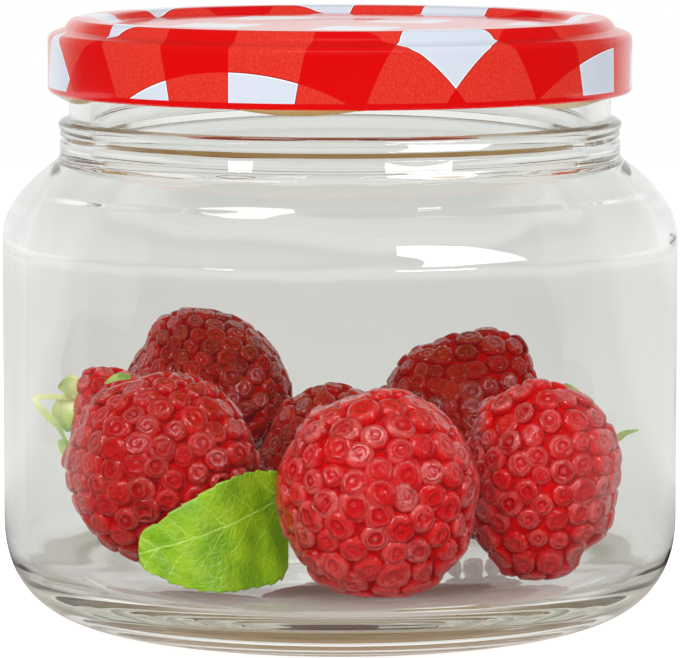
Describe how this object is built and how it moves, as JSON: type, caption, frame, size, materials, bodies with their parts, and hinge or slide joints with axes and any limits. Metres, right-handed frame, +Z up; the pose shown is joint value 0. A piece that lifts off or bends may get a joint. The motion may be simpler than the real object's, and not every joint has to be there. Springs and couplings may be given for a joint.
{
  "type": "glass storage jar with fresh berries",
  "caption": "Clear glass storage jar with a round shoulder, shut by a twist-off tinplate lid in a red and white check, holding whole fresh berries and a green leaf.",
  "frame": {"origin": "centre of the ring that the jar stands on, at the level of the surface under it", "axes": "+Z up along the jar's axis, -Y towards the front of the jar as pictured, +X to the right of the picture"},
  "size_m": [0.084, 0.084, 0.0746],
  "materials": {
    "clear_glass": "clear, polished, faintly grey-green in its thick base",
    "lacquered_tinplate": "glossy lacquer, red and white check outside, gold lacquer inside",
    "berry_front": "satin drupelets with a pale bloom",
    "berry_back": "satin, darker red",
    "leaf_green": "satin, pale veins",
    "sepal_green": "matte, pale"
  },
  "bodies": {
    "root": {"jar_glass": "clear_glass", "lid": "lacquered_tinplate", "berry_front_left": "berry_front", "berry_front_centre": "berry_front", "berry_front_right": "berry_front", "berry_far_left": "berry_front", "berry_back_left": "berry_back", "berry_back_centre": "berry_back", "berry_back_right": "berry_back", "leaf": "leaf_green", "sepals_left": "sepal_green", "sepals_right": "sepal_green"}
  },
  "joints": []
}
